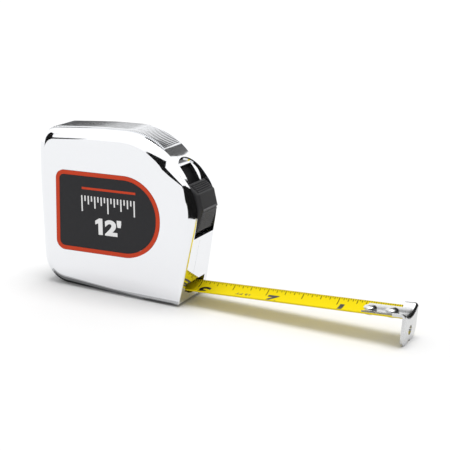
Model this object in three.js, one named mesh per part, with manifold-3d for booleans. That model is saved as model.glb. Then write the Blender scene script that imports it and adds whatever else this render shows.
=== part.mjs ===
// Pocket tape measure: chrome two-part case, thumb lock, cupped half-inch blade with an end hook.
// Millimetres. +Z up, +X towards the hook, y = 0 is the middle of the case and of the blade.
// The origin is on the flat base land, below the reel. The case stands on z = 0.
import * as THREE from 'three';
import Module from 'manifold-3d';
import { ParametricGeometry } from 'three/addons/geometries/ParametricGeometry.js';
import { mergeVertices } from 'three/addons/utils/BufferGeometryUtils.js';

const wasm = await Module();
wasm.setup();

// ---------------------------------------------------------------- driving dimensions
const caseTop = 57.9;           // height of the top line above the front corner
const caseRear = -30.4;         // rear of the case
const noseReach = 33.1;         // front of the case at its foremost corner
const noseHeight = 36.6;        // height of that corner
const noseRound = 17;
const crownX = 14.9;            // front end of the top line
const crownRound = 24;
const topMiddleX = -7;          // the top line bends a little here
const topFall = 0.8;            // and has come down by this much
const topRound = 150;
const rearFall = 3;             // the same at the rear corner
const rearRound = 7.5;
const waistIn = 0.2;            // the back leans in by this much at the waist
const waistHeight = 38;
const backRound = 200;
const heelIn = 2.4;             // and by this much at the base
const heelRound = 10.5;
const toeReach = 27.0;          // front of the toe at the base
const toeHeel = 13.8;           // where the toe starts
const toeLift = 0.9;            // the toe is a little clear of what the case stands on
const toeStep = 0.8;            // run of the step from the base land up to the toe
const toeRound = 0.4;
const stepRound = 0.3;
const heelRun = 3.5;            // the side's round fades out over this run before the toe
const wall = 1.3;               // sheet and boss thickness of the shells
const edgeFillet = 3.8;         // round between a side and the rim
const sharpEdge = 0.15;         // round left on the toe's flush edges
const seamY = -2.5;             // the near cover meets the far shell here
const seamGap = 0.06;           // between the two shells
const fitGap = 0.1;             // general clearance between fitted pieces
const runGap = 0.2;             // clearance round anything that turns or slides

const bladeWidth = 12.7;
const bladeThick = 0.14;
const cupRadius = 10.2;         // the blade's cross section is an arc of this radius
const bladeRise = 0.0588;       // the blade leaves the mouth rising at this slope
const mouthTroughZ = 3.59;      // height of the blade's trough at the toe's front
const scaleOut = 76.2;          // blade showing between the 3 inch line and the hook
const scaleStart = 28.0;        // where the 3 inch line is
const tipLength = 30;           // stiff front stretch of the blade
const mouthSide = 0.95;         // room in the mouth beside, below and above the blade
const mouthBelow = 0.6;
const mouthRoom = 2.0;

const hookThick = 0.9;
const hookWidth = 13.6;
const hookDrop = 9.9;           // hook plate below the blade's edges
const hookFlangeLength = 14.6;
const hookFlangeHalf = 4.0;     // half width of the flange in the blade's trough
const hookPlay = 0.8;           // travel of the hook on its rivets: its own thickness, nearly
const nailHole = 1.6;           // radius
const rivetShank = 1.0;
const rivetHead = 2.2;
const rivetDome = 1.0;
const rivetFromHook = [5.6, 12.9];

const coilOuter = 22.5;
const coilTurnDepth = 3.6;      // radial depth of the wound blade
const coilX = -1;
const coilLift = 4.1;           // lowest point of the coil
const drumWall = 0.9;
const flangeThick = 0.7;
const guideLength = 5.75;       // the plastic liner behind the mouth
const guideHeight = 5.6;
const guideStep = 0.1;          // its opening is this much closer to the blade
const postRadius = 3.0;
const reelGap = 0.15;           // between the blade's edge and a reel flange
const reelRun = 0.3;            // between a reel flange and the case's sockets
const socketLength = 0.9;       // of the sockets that hold the reel post and the brake pin
const springHeight = 9.5;
const springThick = 0.25;
const springTurns = 7;
const springRun = 0.35;         // between the spring's edge and the reel's cover

const trackX = 6.1;             // centre of the arc that the lock travels on
const trackZ = 31.4;
const trackRadius = 23.3;       // floor of the recessed track
const trackHalf = 7.0;          // half width of the recessed track
const trackLow = -17;           // degrees, lower end of the track
const trackHigh = 48;
const slotHalf = 3.8;
const slotLow = 0;
const slotHigh = 42.8;
const lockTravel = 16;          // degrees
const buttonHalf = 6.3;
const buttonLow = -13.6;
const buttonHigh = 26;
const stemHigh = 26;
const sliderThick = 1.2;

const brakePivot = [21, 11.5];
const brakePinRadius = 1.1;
const brakeHub = 2.3;
const brakeHalf = 2.2;
const brakeFoot = [9.6, 12.4];  // from and to, along x
const brakePadTop = 1.5;        // top of the pad above the blade's trough

const labelDepth = 0.35;
const labelBorder = 1.7;
const screwHead = 1.9;
const screwShank = 0.9;
const screwSpots = [
  [caseRear + 5.9, 12],
  [caseRear + 5.8, caseTop - 8.9],
  [8.6, caseTop - 6.5],
];

// The case is as thick as the blade is wide, with a reel flange, its room and a wall at each side.
const insideHalf = bladeWidth / 2 + reelGap + flangeThick + reelRun + socketLength;
const sideY = insideHalf + wall;
const caseThickness = 2 * sideY;

// ---------------------------------------------------------------- materials
const paint = (color, roughness, metalness) => new THREE.MeshStandardMaterial({ color, roughness, metalness });
const looks = {
  chrome: () => paint(0xe8eaec, 0.08, 1),
  steel: () => paint(0xc9cccf, 0.25, 1),
  springSteel: () => paint(0x6f7478, 0.4, 1),
  charcoal: () => paint(0x2a2b2d, 0.55, 0),
  black: () => paint(0x151617, 0.6, 0),
  labelGrey: () => paint(0x37373a, 0.5, 0),
  orange: () => paint(0xd94a26, 0.4, 0),
  yellow: () => paint(0xf7e510, 0.35, 0),
  rubber: () => paint(0x1b1b1b, 0.85, 0),
  drumGrey: () => paint(0x55585c, 0.6, 0),
};

// ---------------------------------------------------------------- solid helpers
const group = new THREE.Group();

function solid(geometry) {
  const bare = new THREE.BufferGeometry();
  bare.setAttribute('position', geometry.getAttribute('position').clone());
  if (geometry.index) bare.setIndex(geometry.index.clone());
  const merged = mergeVertices(bare, 1e-4);
  const index = merged.index.array;
  const kept = [];
  for (let i = 0; i < index.length; i += 3) {
    const [a, b, c] = [index[i], index[i + 1], index[i + 2]];
    if (a !== b && b !== c && c !== a) kept.push(a, b, c);
  }
  return new wasm.Manifold(new wasm.Mesh({
    numProp: 3,
    vertProperties: new Float32Array(merged.getAttribute('position').array),
    triVerts: new Uint32Array(kept),
  }));
}

function place(name, shape, material) {
  const mesh = shape.getMesh();
  const geometry = new THREE.BufferGeometry();
  geometry.setAttribute('position', new THREE.BufferAttribute(new Float32Array(mesh.vertProperties), 3));
  geometry.setIndex(new THREE.BufferAttribute(new Uint32Array(mesh.triVerts), 1));
  geometry.computeVertexNormals();
  const piece = new THREE.Mesh(geometry, material);
  piece.name = name;
  group.add(piece);
}

// A prism standing on the XZ plane: shape points are (x, z), it runs from y0 to y1.
function prism(shape, y0, y1, curveSegments = 8) {
  const geometry = new THREE.ExtrudeGeometry(shape, { depth: y1 - y0, bevelEnabled: false, curveSegments });
  geometry.rotateX(Math.PI / 2);
  geometry.translate(0, y1, 0);
  return solid(geometry);
}

// A prism along X: shape points are (y, z), it runs from x0 to x1.
function prismX(shape, x0, x1) {
  const geometry = new THREE.ExtrudeGeometry(shape, { depth: x1 - x0, bevelEnabled: false, curveSegments: 8 });
  geometry.applyMatrix4(new THREE.Matrix4().makeBasis(
    new THREE.Vector3(0, 1, 0), new THREE.Vector3(0, 0, 1), new THREE.Vector3(1, 0, 0)));
  geometry.translate(x0, 0, 0);
  return solid(geometry);
}

// A turned piece on an axis along Y through (x, z): profile points are [radius, y].
function turned(profile, x, z, sides = 24) {
  const points = profile.map(([radius, y]) => new THREE.Vector2(radius, y));
  const geometry = new THREE.LatheGeometry(points, sides);
  geometry.translate(x, 0, z);
  const shape = solid(geometry);
  return shape.volume() > 0 ? shape : solid(flipped(geometry));
}

function flipped(geometry) {
  const turnedOver = geometry.clone();
  const index = turnedOver.index.array;
  for (let i = 0; i < index.length; i += 3) [index[i], index[i + 1]] = [index[i + 1], index[i]];
  return turnedOver;
}

const rod = (radius, x, z, y0, y1, sides = 24) =>
  turned([[0, y0], [radius, y0], [radius, y1], [0, y1]], x, z, sides);
const ring = (inner, outer, x, z, y0, y1, sides = 44) =>
  turned([[inner, y0], [outer, y0], [outer, y1], [inner, y1], [inner, y0]], x, z, sides);

const shapeOf = (points) => new THREE.Shape(points.map(([x, z]) => new THREE.Vector2(x, z)));
const degrees = (angle) => angle * Math.PI / 180;

// ---------------------------------------------------------------- outlines with rounded corners
// Corners are [x, z, radius], anticlockwise seen with +x to the right and +z up.
function offsetCorners(corners, inset) {
  const count = corners.length;
  const edge = corners.map(([x, z], i) => {
    const [nx, nz] = corners[(i + 1) % count];
    const length = Math.hypot(nx - x, nz - z);
    const dir = [(nx - x) / length, (nz - z) / length];
    return { dir, from: [x - dir[1] * inset, z + dir[0] * inset] };
  });
  return corners.map(([, , radius], i) => {
    const before = edge[(i + count - 1) % count];
    const after = edge[i];
    const cross = before.dir[0] * after.dir[1] - before.dir[1] * after.dir[0];
    const gap = [after.from[0] - before.from[0], after.from[1] - before.from[1]];
    const along = (gap[0] * after.dir[1] - gap[1] * after.dir[0]) / cross;
    const x = before.from[0] + before.dir[0] * along;
    const z = before.from[1] + before.dir[1] * along;
    return [x, z, cross > 0 ? Math.max(radius - inset, 0.2) : radius + inset];
  });
}

function roundedOutline(corners, step = 9) {
  const count = corners.length;
  const points = [];
  corners.forEach(([x, z, radius], i) => {
    const [px, pz] = corners[(i + count - 1) % count];
    const [nx, nz] = corners[(i + 1) % count];
    const inAngle = Math.atan2(z - pz, x - px);
    let turn = Math.atan2(nz - z, nx - x) - inAngle;
    turn = Math.atan2(Math.sin(turn), Math.cos(turn));
    const back = radius * Math.tan(Math.abs(turn) / 2);
    const side = Math.sign(turn);
    const start = [x - back * Math.cos(inAngle), z - back * Math.sin(inAngle)];
    const centre = [start[0] - side * radius * Math.sin(inAngle), start[1] + side * radius * Math.cos(inAngle)];
    const pieces = Math.max(2, Math.ceil(Math.abs(turn) / degrees(step)));
    for (let k = 0; k <= pieces; k += 1) {
      const angle = inAngle + turn * k / pieces - side * Math.PI / 2;
      points.push([centre[0] + radius * Math.cos(angle), centre[1] + radius * Math.sin(angle)]);
    }
  });
  return points;
}

const caseCorners = [
  [toeReach, toeLift, toeRound],
  [noseReach, noseHeight, noseRound],
  [crownX, caseTop, crownRound],
  [topMiddleX, caseTop - topFall, topRound],
  [caseRear, caseTop - rearFall, rearRound],
  [caseRear + waistIn, waistHeight, backRound],
  [caseRear + heelIn, 0, heelRound],
  [toeHeel - toeStep, 0, stepRound],
  [toeHeel, toeLift, stepRound],
];

// The side's round: full everywhere but along the toe, and growing up the front.
function filletAt(x, z, fullRound) {
  const low = z < edgeFillet + 1;
  if (low && x > toeHeel) return sharpEdge;
  const fade = (x - toeHeel + heelRun) / heelRun;
  if (low && fade > 0) return fullRound + (sharpEdge - fullRound) * fade;
  if (x > toeReach) return Math.min(fullRound, Math.max(sharpEdge, x - toeReach - sharpEdge));
  return fullRound;
}

// The whole case as one body: rings of the outline, drawn in by the round towards each side.
function caseBody(inset) {
  const outline = roundedOutline(offsetCorners(caseCorners, inset));
  const half = caseThickness / 2 - inset;
  const count = outline.length;
  const middle = [0, caseTop / 2];
  const roundSteps = 4;
  const rows = [];
  for (let k = 0; k <= roundSteps; k += 1) rows.push({ turn: (k / roundSteps) * Math.PI / 2, side: -1 });
  for (let k = roundSteps; k >= 0; k -= 1) rows.push({ turn: (k / roundSteps) * Math.PI / 2, side: 1 });
  const stacks = rows.length + 1;
  const rim = (u, row) => {
    const i = Math.round(u * count) % count;
    const [x, z] = outline[i];
    const [ax, az] = outline[(i + count - 1) % count];
    const [bx, bz] = outline[(i + 1) % count];
    const length = Math.hypot(bx - ax, bz - az);
    const inward = [-(bz - az) / length, (bx - ax) / length];
    const round = Math.max(filletAt(x, z, edgeFillet) - inset, 0.1);
    const draw = round * (1 - Math.sin(row.turn));
    const y = row.side * (half - round * (1 - Math.cos(row.turn)));
    return [x + inward[0] * draw, y, z + inward[1] * draw];
  };
  const surface = (u, v, target) => {
    const level = Math.round(v * stacks);
    if (level === 0) target.set(middle[0], -half, middle[1]);
    else if (level === stacks) target.set(middle[0], half, middle[1]);
    else target.set(...rim(u, rows[level - 1]));
  };
  const geometry = new ParametricGeometry(surface, count, stacks);
  const body = solid(geometry);
  return body.volume() > 0 ? body : solid(flipped(geometry));
}

// ---------------------------------------------------------------- blade geometry
const halfWidthAngle = bladeWidth / 2 / cupRadius;
const cupDepth = cupRadius * (1 - Math.cos(halfWidthAngle));
const halfChord = cupRadius * Math.sin(halfWidthAngle);
const mouthEdgeZ = mouthTroughZ + cupDepth;
const edgeZ = (x) => mouthEdgeZ + bladeRise * (x - scaleStart);
const cupLift = (y) => cupRadius - Math.sqrt(cupRadius ** 2 - y ** 2);
const hookX = scaleStart + scaleOut;
const tipStart = hookX - tipLength;

// A strip of blade from x0 to x1. cup(x) is 0 where it is flat and 1 where it is fully cupped,
// and trough(x) is the height of the middle of its lower face.
function bladeStrip(x0, x1, cells, cup, trough) {
  const across = 6;
  const geometry = new THREE.BoxGeometry(x1 - x0, bladeWidth, bladeThick, cells, across, 1);
  geometry.translate((x0 + x1) / 2, 0, bladeThick / 2);
  const place3 = geometry.getAttribute('position');
  for (let i = 0; i < place3.count; i += 1) {
    const x = place3.getX(i);
    const spread = place3.getY(i) / cupRadius;
    const bend = cup(x);
    const y = place3.getY(i) * (1 - bend) + cupRadius * Math.sin(spread) * bend;
    const z = place3.getZ(i) + trough(x) + cupRadius * (1 - Math.cos(spread)) * bend;
    place3.setXYZ(i, x, y, z);
  }
  return solid(geometry);
}
const troughZ = (x) => edgeZ(x) - cupDepth;

// A cupped bar along the blade: from x0 to x1, between two heights above the trough.
function cuppedBar(x0, x1, low, high, half) {
  const steps = 6;
  const lower = [];
  const upper = [];
  for (let k = 0; k <= steps; k += 1) {
    const y = -half + 2 * half * k / steps;
    lower.push([y, low + cupLift(y)]);
    upper.unshift([y, high + cupLift(y)]);
  }
  return alongBlade(prismX(shapeOf([...lower, ...upper]), x0, x1));
}

// Shears a piece made level, at trough height 0, onto the rising blade.
const alongBlade = (shape) => shape.warp((vertex) => {
  vertex[2] += troughZ(vertex[0]);
});

// ---------------------------------------------------------------- case shells
const mouthHalf = halfChord + mouthSide;
const mouthTop = mouthEdgeZ + mouthRoom;
const hubZ = coilLift + coilOuter;

function mouthCutter(half, top, drop, x0, x1) {
  const steps = 12;
  const lower = [];
  for (let k = 0; k <= steps; k += 1) {
    const y = -half + 2 * half * k / steps;
    lower.push([y, cupLift(Math.min(Math.abs(y), halfChord)) - drop]);
  }
  return alongBlade(prismX(shapeOf([...lower, [half, top], [-half, top]]), x0, x1));
}

// A block between two radii and two angles about the lock's track centre.
function trackBlock(inner, outer, low, high, half) {
  const shape = new THREE.Shape();
  const [a, b] = [degrees(low), degrees(high)];
  shape.absarc(trackX, trackZ, outer, a, b, false);
  shape.absarc(trackX, trackZ, inner, b, a, true);
  return prism(shape, -half, half, 20);
}

const outerBody = caseBody(0);
const cavity = caseBody(wall);
const trackBacking = trackBlock(trackRadius - wall, trackRadius + 4, trackLow - 3, trackHigh + 3,
  caseThickness / 2 - wall / 2).intersect(outerBody);
const recess = trackBlock(trackRadius, trackRadius + 12, trackLow, trackHigh, trackHalf);
const slot = trackBlock(trackRadius - 6, trackRadius + 12, slotLow, slotHigh, slotHalf);
const mouthOpening = mouthCutter(mouthHalf, mouthTop - troughZ(scaleStart), mouthBelow, 19, 40);

const boss = ([x, z]) => rod(screwShank + wall, x, z, seamY + seamGap / 2 + fitGap, insideHalf + wall / 2, 24);
const nearBoss = ([x, z]) =>
  rod(screwShank + wall, x, z, -insideHalf - wall / 2, seamY - seamGap / 2 - fitGap, 24);
const screwHole = ([x, z]) => rod(screwShank + fitGap, x, z, -insideHalf + 1, caseThickness, 20)
  .add(rod(screwHead + fitGap, x, z, insideHalf + 0.35, caseThickness, 24));

const sliceBlock = (low, high) =>
  solid(new THREE.BoxGeometry(200, high - low, 200).translate(0, (low + high) / 2, 0));
const hollow = outerBody.subtract(cavity).add(trackBacking)
  .subtract(recess).subtract(slot).subtract(mouthOpening);

const labelCorners = [
  [-21.9, 13.2, 3.4],
  [19.4, 14.7, 13.9],
  [19.0, 43.2, 13.9],
  [-22.1, 41.7, 3.2],
];
const labelOutline = (inset) => shapeOf(roundedOutline(offsetCorners(labelCorners, inset)));
const labelSeat = (side) => prism(labelOutline(-fitGap),
  side < 0 ? -sideY - 1 : sideY - labelDepth, side < 0 ? -sideY + labelDepth : sideY + 1);

// Sockets that hold the ends of the reel post and the brake pin.
const socket = (radius, x, z, side) => {
  const inner = side * (insideHalf - socketLength);
  const outer = side * (insideHalf + wall / 2);
  const bore = radius + fitGap / 2;
  return ring(bore, bore + wall, x, z, Math.min(inner, outer), Math.max(inner, outer), 24);
};
const sockets = (side) => socket(postRadius, coilX, hubZ, side).add(socket(brakePinRadius, ...brakePivot, side));

let nearShell = hollow.intersect(sliceBlock(-50, seamY - seamGap / 2)).add(sockets(-1));
let farShell = hollow.intersect(sliceBlock(seamY + seamGap / 2, 50)).add(sockets(1));
for (const spot of screwSpots) {
  nearShell = nearShell.add(nearBoss(spot).intersect(outerBody));
  farShell = farShell.add(boss(spot).intersect(outerBody)).subtract(screwHole(spot));
  nearShell = nearShell.subtract(screwHole(spot));
}
place('case_shell_near', nearShell.subtract(labelSeat(-1)), looks.chrome());
place('case_shell_far', farShell.subtract(labelSeat(1)), looks.chrome());

// ---------------------------------------------------------------- labels, both sides
for (const [word, side] of [['near', -1], ['far', 1]]) {
  const proud = 0.15;
  const back = side * (sideY - labelDepth + 0.03);
  const face = side * (sideY + proud);
  const between = (a, b, shape) => prism(shape, Math.min(a, b), Math.max(a, b));
  const opening = between(back - side, face + side, labelOutline(labelBorder));
  const border = between(back, face, labelOutline(0)).subtract(opening);
  place(`label_border_${word}`, border, looks.orange());
  const panel = between(back, face - side * 0.1, labelOutline(labelBorder + 0.05));
  place(`label_panel_${word}`, panel, looks.labelGrey());
}

// ---------------------------------------------------------------- fasteners and mouth guide
screwSpots.forEach(([x, z], i) => {
  const headTop = sideY - 0.15;
  const headLow = insideHalf + 0.35 + fitGap;
  const slotCut = solid(new THREE.BoxGeometry(screwHead * 3, 0.6, 0.5).translate(x, headTop, z));
  const screw = turned([[0, -insideHalf + 1.4], [screwShank, -insideHalf + 1.4], [screwShank, headLow],
    [screwHead, headLow], [screwHead, headTop - 0.3], [screwHead - 0.4, headTop], [0, headTop]], x, z, 20);
  place(`case_screw_${i + 1}`, screw.subtract(slotCut), looks.steel());
});

const guideTo = toeReach - wall - 0.25;
const guideFrom = guideTo - guideLength;
const guideBlock = solid(new THREE.BoxGeometry(guideTo - guideFrom, 2 * (insideHalf - 0.3), guideHeight)
  .translate((guideFrom + guideTo) / 2, 0, toeLift + wall + 0.06 + guideHeight / 2));
const guideOpening = mouthCutter(mouthHalf - guideStep, mouthTop - troughZ(scaleStart) - guideStep,
  mouthBelow - guideStep, guideFrom - 1, guideTo + 1);
place('mouth_guide', guideBlock.subtract(guideOpening), looks.black());

// ---------------------------------------------------------------- reel
const coilInner = coilOuter - coilTurnDepth;
const drumOuter = coilInner - 0.05;
const drumInner = drumOuter - drumWall;
const webFrom = bladeWidth / 2 + reelGap;
const webTo = webFrom + flangeThick;
const hubOuter = postRadius + runGap + 1.4;
const drumSpan = bladeWidth / 2;
place('reel_drum', turned([[postRadius + runGap, webFrom - 2.4], [hubOuter, webFrom - 2.4], [hubOuter, webFrom],
  [drumInner, webFrom], [drumInner, -drumSpan], [drumOuter, -drumSpan], [drumOuter, webFrom],
  [coilOuter + 0.2, webFrom], [coilOuter + 0.2, webTo], [postRadius + runGap, webTo],
  [postRadius + runGap, webFrom - 2.4]], coilX, hubZ, 44), looks.drumGrey());
place('reel_cover', ring(postRadius + runGap, coilOuter + 0.2, coilX, hubZ, -webTo, -webFrom),
  looks.drumGrey());
place('blade_coil', ring(coilInner, coilOuter, coilX, hubZ, -bladeWidth / 2, bladeWidth / 2), looks.yellow());
place('reel_post', rod(postRadius, coilX, hubZ, -insideHalf + fitGap, insideHalf - fitGap)
  .subtract(solid(new THREE.BoxGeometry(0.6, springHeight + 2, postRadius * 1.2)
    .translate(coilX, -insideHalf + fitGap + springHeight / 2 + 1, hubZ + postRadius * 0.5))), looks.steel());

// The return spring: a flat steel strip wound from the post to the inside of the drum.
function returnSpring() {
  const from = postRadius + runGap + 0.4;
  const to = drumInner - 0.4;
  const cells = springTurns * 14;
  const geometry = new THREE.BoxGeometry(1, springHeight, springThick, cells, 1, 1);
  const spots = geometry.getAttribute('position');
  const middle = springRun - webFrom + springHeight / 2;
  for (let i = 0; i < spots.count; i += 1) {
    const share = spots.getX(i) + 0.5;
    const angle = share * springTurns * 2 * Math.PI;
    const radius = from + (to - from) * share + spots.getZ(i);
    spots.setXYZ(i, coilX + radius * Math.cos(angle), spots.getY(i) + middle, hubZ + radius * Math.sin(angle));
  }
  const shape = solid(geometry);
  return shape.volume() > 0 ? shape : solid(flipped(geometry));
}
place('return_spring', returnSpring(), looks.springSteel());

// ---------------------------------------------------------------- blade, hook and rivets
const shankHole = (x) => new THREE.CylinderGeometry(rivetShank + fitGap, rivetShank + fitGap, 12, 16)
  .rotateX(Math.PI / 2).translate(x, 0, troughZ(x));
const rivetSpots = rivetFromHook.map((back) => hookX - back);
let tip = bladeStrip(tipStart + 0.02, hookX - 0.6, 4, () => 1, troughZ);
for (const x of rivetSpots) tip = tip.subtract(solid(shankHole(x)));
place('blade_tip', tip, looks.yellow());

// Between the coil and the mouth the blade lifts off the coil flat and takes its cup.
const feedStart = coilX;
const cupFull = 14;
const ease = (t) => {
  const s = Math.min(1, Math.max(0, t));
  return s * s * (3 - 2 * s);
};
const feedCup = (x) => ease((x - feedStart) / (cupFull - feedStart));
const feedTrough = (x) => {
  const start = coilLift - bladeThick - 0.06;
  return start + (troughZ(x) - start) * feedCup(x);
};
place('blade_feed', bladeStrip(feedStart, tipStart - 0.02, 20, feedCup, feedTrough), looks.yellow());

const flangeLow = bladeThick + 0.08;
const flangeHigh = flangeLow + hookThick;
const bendX = hookX;
const flange = cuppedBar(bendX - hookFlangeLength, bendX + hookThick, flangeLow, flangeHigh, hookFlangeHalf);
const wings = cuppedBar(bendX - 3.4, bendX + hookThick, flangeLow, flangeHigh, halfChord + 0.5);
const plateBottom = cupDepth - hookDrop;
const platePoints = roundedOutline([
  [-hookWidth / 2, plateBottom, 3.0],
  [-1.0, plateBottom, 0.4],
  [-0.7, plateBottom + 0.8, 0.3],
  [0.7, plateBottom + 0.8, 0.3],
  [1.0, plateBottom, 0.4],
  [hookWidth / 2, plateBottom, 3.0],
  [hookWidth / 2, cupDepth + 1.2, 0.6],
  [0, flangeHigh, 9],
  [-hookWidth / 2, cupDepth + 1.2, 0.6],
], 24);
const plateShape = shapeOf(platePoints);
const hole = new THREE.Path();
hole.absarc(0, plateBottom + 4.0, nailHole, 0, 2 * Math.PI, false);
plateShape.holes.push(hole);
const leanIn = 0.05;
const plate = prismX(plateShape, bendX, bendX + hookThick).warp((vertex) => {
  vertex[0] -= leanIn * (cupDepth - vertex[2]);
  vertex[2] += troughZ(bendX);
});
const rivetSlot = (x) => {
  const length = hookPlay + 2 * fitGap;
  const long = new THREE.BoxGeometry(length, 2 * (rivetShank + fitGap), 6).translate(x, 0, troughZ(x));
  const end = (shift) => new THREE.CylinderGeometry(rivetShank + fitGap, rivetShank + fitGap, 6, 12)
    .rotateX(Math.PI / 2).translate(x + shift, 0, troughZ(x));
  return solid(long).add(solid(end(-length / 2))).add(solid(end(length / 2)));
};
let hook = flange.add(wings).add(plate);
for (const x of rivetSpots) hook = hook.subtract(rivetSlot(x));
place('end_hook', hook, looks.steel());

// One rivet: dome above the flange, shank, and a formed foot below the blade.
function rivet(x) {
  const top = flangeHigh + cupLift(rivetHead) + 0.08;
  const dome = [];
  const steps = 3;
  for (let k = 0; k <= steps; k += 1) {
    const angle = (k / steps) * Math.PI / 2;
    dome.push([rivetHead * Math.cos(angle), top + 0.25 + rivetDome * Math.sin(angle)]);
  }
  dome[steps][0] = 0;
  const profile = [[0, -0.3], [rivetShank + 0.7, -0.3], [rivetShank + 0.7, -0.08], [rivetShank, -0.08],
    [rivetShank, top], [rivetHead, top], ...dome];
  const geometry = new THREE.LatheGeometry(profile.map(([r, h]) => new THREE.Vector2(r, h)), 16);
  geometry.rotateX(Math.PI / 2);
  geometry.translate(x, 0, troughZ(x));
  const shape = solid(geometry);
  return shape.volume() > 0 ? shape : solid(flipped(geometry));
}
place('rivet_front', rivet(rivetSpots[0]), looks.steel());
place('rivet_rear', rivet(rivetSpots[1]), looks.steel());

// ---------------------------------------------------------------- thumb lock
const onTrack = (radius, angle) => [trackX + radius * Math.cos(degrees(angle)), trackZ + radius * Math.sin(degrees(angle))];
const buttonFloor = trackRadius + 0.15;
const buttonPoints = [];
const floorSteps = 8;
for (let k = 0; k <= floorSteps; k += 1) {
  buttonPoints.push(onTrack(buttonFloor, buttonHigh + (buttonLow - buttonHigh) * k / floorSteps));
}
buttonPoints.push(onTrack(trackRadius + 1.7, buttonLow));
buttonPoints.push(onTrack(trackRadius + 3.8, 4.9));
buttonPoints.push(onTrack(trackRadius + 3.4, 16.8));
buttonPoints.push(onTrack(trackRadius + 0.6, buttonHigh));
place('lock_button', prism(shapeOf(buttonPoints), -buttonHalf, buttonHalf), looks.charcoal());

const stemLow = slotLow + 0.8;
const sliderLow = -4;
const sliderTop = trackRadius - wall - fitGap;
const [sliderLowX, sliderLowZ] = onTrack(sliderTop, sliderLow);
place('lock_slider', trackBlock(sliderTop - sliderThick, sliderTop, sliderLow, slotHigh + 2, slotHalf + 1.6)
  .add(trackBlock(sliderTop - 0.2, trackRadius + 0.05, stemLow, stemHigh - 0.4, slotHalf - runGap)), looks.black());

// ---------------------------------------------------------------- brake
// A bell crank: its foot presses the blade down, its nose lies below the lock slider's lower end.
const [pivotX, pivotZ] = brakePivot;
const footLow = troughZ(brakeFoot[0]) + brakePadTop;
const footHigh = footLow + 1.2;
const domeRoof = troughZ(brakeFoot[1]) + flangeHigh + cupLift(rivetHead) + rivetDome + 1.3;
const noseX = sliderLowX - 2.4;
const noseZ = sliderLowZ - 0.9;
const brakeArm = prism(shapeOf(roundedOutline([
  [brakeFoot[0], footLow, 0.3],
  [brakeFoot[1], footLow, 0.3],
  [brakeFoot[1] + 0.3, domeRoof, 0.8],
  [pivotX + 1.2, pivotZ - 1.8, 1.2],
  [noseX + 1.3, noseZ - 0.8, 0.4],
  [noseX, noseZ, 0.4],
  [pivotX - 1.8, pivotZ + 1.2, 1.2],
  [brakeFoot[0], footHigh, 0.4],
], 18)), -brakeHalf, brakeHalf)
  .add(rod(brakeHub, pivotX, pivotZ, -brakeHalf, brakeHalf))
  .subtract(rod(brakePinRadius + runGap, pivotX, pivotZ, -2 * brakeHalf, 2 * brakeHalf));
place('brake_lever', brakeArm, looks.black());
const padLow = troughZ(brakeFoot[1]) + bladeThick + cupLift(brakeHalf) + runGap;
const padHigh = footLow - fitGap;
place('brake_pad', prism(shapeOf([[brakeFoot[0], padLow], [brakeFoot[1], padLow],
  [brakeFoot[1], padHigh], [brakeFoot[0], padHigh]]), -brakeHalf, brakeHalf), looks.rubber());
place('brake_pin', rod(brakePinRadius, pivotX, pivotZ, -insideHalf + fitGap, insideHalf - fitGap), looks.steel());

export default group;
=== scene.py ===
# %% [markdown]
# # A chrome pocket tape measure
# The sizes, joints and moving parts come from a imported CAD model, which is loaded as a fixed
# frame. This script builds the surfaces that the eye sees around it: a plated case with a
# ribbed top, a printed cupped blade, a bent steel hook, and a ribbed thumb lock.

# %% Load the frame
import math

import bmesh
import bpy
from mathutils import Matrix, Vector


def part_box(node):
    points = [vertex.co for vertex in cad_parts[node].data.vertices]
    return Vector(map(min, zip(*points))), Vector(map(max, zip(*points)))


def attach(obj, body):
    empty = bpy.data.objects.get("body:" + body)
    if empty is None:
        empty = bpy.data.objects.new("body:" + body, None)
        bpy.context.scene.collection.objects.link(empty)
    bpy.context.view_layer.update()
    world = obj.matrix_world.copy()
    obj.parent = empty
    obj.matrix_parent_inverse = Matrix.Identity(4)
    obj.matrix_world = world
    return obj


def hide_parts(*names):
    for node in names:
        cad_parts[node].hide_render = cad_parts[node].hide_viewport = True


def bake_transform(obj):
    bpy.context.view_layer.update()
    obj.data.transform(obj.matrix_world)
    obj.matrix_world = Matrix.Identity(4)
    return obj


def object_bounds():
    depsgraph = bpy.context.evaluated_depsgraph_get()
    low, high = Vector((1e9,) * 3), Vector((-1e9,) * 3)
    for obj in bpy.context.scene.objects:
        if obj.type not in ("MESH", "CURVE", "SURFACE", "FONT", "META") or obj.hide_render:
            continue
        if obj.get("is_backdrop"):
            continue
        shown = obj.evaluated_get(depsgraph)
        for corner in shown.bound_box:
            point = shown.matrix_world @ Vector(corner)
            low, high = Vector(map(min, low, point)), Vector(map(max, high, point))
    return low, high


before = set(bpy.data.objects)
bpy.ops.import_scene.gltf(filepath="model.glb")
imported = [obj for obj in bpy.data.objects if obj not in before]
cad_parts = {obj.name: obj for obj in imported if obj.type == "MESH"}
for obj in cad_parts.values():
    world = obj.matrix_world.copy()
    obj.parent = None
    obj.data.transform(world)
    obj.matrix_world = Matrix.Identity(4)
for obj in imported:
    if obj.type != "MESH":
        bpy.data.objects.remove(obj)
cad_low, cad_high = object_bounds()
scene = bpy.context.scene
mm = 0.001
print("CAD box in mm:", [round(v / mm, 1) for v in (*cad_low, *cad_high)])

# %% [markdown]
# ## The camera
# A tape measure is a small thing, so it is seen from near by with a long lens. The camera is
# made first because everything else can then be judged through it. It looks down by about
# sixteen degrees from the front right, and leans a little.

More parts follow.
